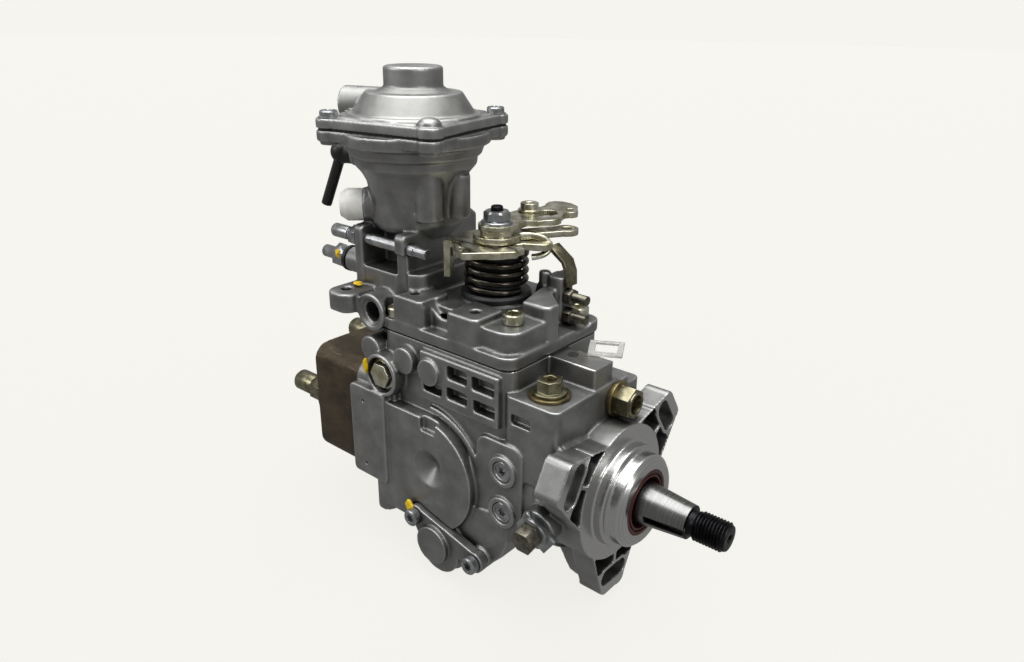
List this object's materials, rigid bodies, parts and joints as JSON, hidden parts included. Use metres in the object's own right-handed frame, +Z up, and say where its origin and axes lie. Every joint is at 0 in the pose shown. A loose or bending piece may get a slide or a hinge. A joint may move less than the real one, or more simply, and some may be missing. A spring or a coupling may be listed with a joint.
{
  "type": "diesel injection pump",
  "caption": "Rotary distributor diesel injection pump with slotted triangular flange, tapered drive shaft, throttle lever, boost compensator tower and stop solenoid.",
  "frame": {"origin": "centre of the pilot where it meets the mounting face of the flange, on the drive shaft axis", "axes": "+X along the drive shaft towards its threaded end, +Z up towards the boost compensator, -Y is the side with the name pad"},
  "size_m": [0.2606, 0.1182, 0.2415],
  "materials": {
    "cast": "matt",
    "steel": "satin",
    "dark_steel": "satin",
    "yellow_zinc": "satin",
    "white_zinc": "satin",
    "black_oxide": "satin",
    "spring_steel": "satin",
    "copper_washer": "satin",
    "bronze": "satin",
    "black_rubber": "matt",
    "brown_rubber": "matt",
    "black_plastic": "matt",
    "white_plastic": "gloss"
  },
  "bodies": {
    "housing": {"pump_housing": "cast", "shaft_bush": "bronze", "shaft_seal": "brown_rubber", "governor_cover": "cast", "cover_gasket": "black_rubber", "cover_screws": "yellow_zinc", "distributor_head": "dark_steel", "head_screws": "black_oxide", "delivery_valve_holders": "yellow_zinc", "head_center_plug": "yellow_zinc", "fuel_cutoff_solenoid": "steel", "diaphragm_cover": "cast", "diaphragm_cover_screws": "yellow_zinc", "diaphragm": "black_rubber", "boost_spring": "spring_steel", "vent_elbow": "black_plastic", "transit_cap": "white_plastic", "throttle_spring": "spring_steel", "spring_seat": "black_plastic", "stop_screw": "yellow_zinc", "full_load_screw": "white_zinc", "speed_screws": "yellow_zinc", "stop_bracket": "yellow_zinc", "inlet_plug": "yellow_zinc", "pressure_valve": "yellow_zinc", "seal_washers": "copper_washer", "hex_plug": "yellow_zinc", "access_plugs": "steel", "shaft_lock_bolt": "steel", "lock_spacer": "white_plastic", "timing_cover": "cast", "timing_rear_cover": "cast", "timing_cover_screws": "yellow_zinc", "timing_spring": "spring_steel", "feed_pump_ring": "dark_steel", "feed_pump_plate": "steel", "governor_shaft": "steel"},
    "drive_train": {"drive_shaft": "steel", "feed_rotor": "dark_steel", "drive_gear": "dark_steel", "cam_plate": "dark_steel", "plunger": "steel"},
    "governor_cage": {"governor_cage": "dark_steel"},
    "weight_top": {"flyweight_top": "dark_steel"},
    "weight_far": {"flyweight_far": "dark_steel"},
    "weight_bottom": {"flyweight_bottom": "dark_steel"},
    "weight_near": {"flyweight_near": "dark_steel"},
    "sleeve": {"governor_sleeve": "steel"},
    "lever": {"governor_lever": "yellow_zinc"},
    "collar": {"control_collar": "steel"},
    "timing_piston": {"timing_piston": "steel"},
    "roller_ring": {"roller_ring": "dark_steel"},
    "throttle": {"throttle_shaft": "steel", "throttle_cup": "yellow_zinc", "throttle_lever": "yellow_zinc", "lever_nut": "white_zinc", "lever_clamp_screw": "yellow_zinc", "link_bracket": "yellow_zinc"},
    "boost_pin": {"boost_pin": "steel"},
    "solenoid_plunger": {"solenoid_plunger": "steel"}
  },
  "joints": [
    {"name": "drive_spin", "type": "hinge", "parent": "housing", "child": "drive_train", "pos_m": [0, 0, 0], "axis": [1, 0, 0], "continuous": true},
    {"name": "governor_spin", "type": "hinge", "parent": "housing", "child": "governor_cage", "pos_m": [0, 0, 0.0405], "axis": [1, 0, 0], "continuous": true},
    {"name": "governor_slide", "type": "slide", "parent": "governor_cage", "child": "sleeve", "axis": [-1, 0, 0], "range_m": [0, 0.0024], "stiffness_N_per_m": 900, "springref_m": -0.002},
    {"name": "weight_top_swing", "type": "hinge", "parent": "governor_cage", "child": "weight_top", "pos_m": [-0.0535, 0, 0.0595], "axis": [0, 1, 0], "range_deg": [0, 10]},
    {"name": "weight_far_swing", "type": "hinge", "parent": "governor_cage", "child": "weight_far", "pos_m": [-0.0535, 0.019, 0.0405], "axis": [0, 0, -1], "range_deg": [0, 10]},
    {"name": "weight_bottom_swing", "type": "hinge", "parent": "governor_cage", "child": "weight_bottom", "pos_m": [-0.0535, 0, 0.0215], "axis": [0, -1, 0], "range_deg": [0, 10]},
    {"name": "weight_near_swing", "type": "hinge", "parent": "governor_cage", "child": "weight_near", "pos_m": [-0.0535, -0.019, 0.0405], "axis": [0, 0, 1], "range_deg": [0, 10]},
    {"name": "lever_swing", "type": "hinge", "parent": "housing", "child": "lever", "pos_m": [-0.104, 0, 0.024], "axis": [0, -1, 0], "range_deg": [0, 12]},
    {"name": "collar_slide", "type": "slide", "parent": "housing", "child": "collar", "axis": [1, 0, 0], "range_m": [0, 0.003]},
    {"name": "timing_slide", "type": "slide", "parent": "housing", "child": "timing_piston", "axis": [0, 1, 0], "range_m": [0, 0.0093], "stiffness_N_per_m": 4000, "springref_m": -0.002},
    {"name": "ring_turn", "type": "hinge", "parent": "housing", "child": "roller_ring", "pos_m": [0, 0, 0], "axis": [1, 0, 0], "range_deg": [0, 12]},
    {"name": "throttle_turn", "type": "hinge", "parent": "housing", "child": "throttle", "pos_m": [-0.08, 0.002, 0.09], "axis": [0, 0, 1], "range_deg": [0, 45], "stiffness_Nm_per_rad": 0.6, "springref_deg": -22.92},
    {"name": "boost_travel", "type": "slide", "parent": "housing", "child": "boost_pin", "axis": [0, 0, -1], "range_m": [0, 0.005], "stiffness_N_per_m": 4000, "springref_m": -0.002, "deforming": ["boost_spring"]},
    {"name": "solenoid_lift", "type": "slide", "parent": "housing", "child": "solenoid_plunger", "axis": [0, 0.7071, 0.7071], "range_m": [0, 0.003], "stiffness_N_per_m": 400, "springref_m": -0.003}
  ],
  "couplings": [
    {"joint": "governor_spin", "follows": "drive_spin", "ratio": -1.7},
    {"joint": "weight_top_swing", "follows": "governor_slide", "rad_per_m": 69.4},
    {"joint": "weight_far_swing", "follows": "governor_slide", "rad_per_m": 69.4},
    {"joint": "weight_bottom_swing", "follows": "governor_slide", "rad_per_m": 69.4},
    {"joint": "weight_near_swing", "follows": "governor_slide", "rad_per_m": 69.4},
    {"joint": "lever_swing", "follows": "governor_slide", "rad_per_m": 70.9},
    {"joint": "collar_slide", "follows": "governor_slide", "ratio": 1.035},
    {"joint": "ring_turn", "follows": "timing_slide", "rad_per_m": 22.3}
  ]
}
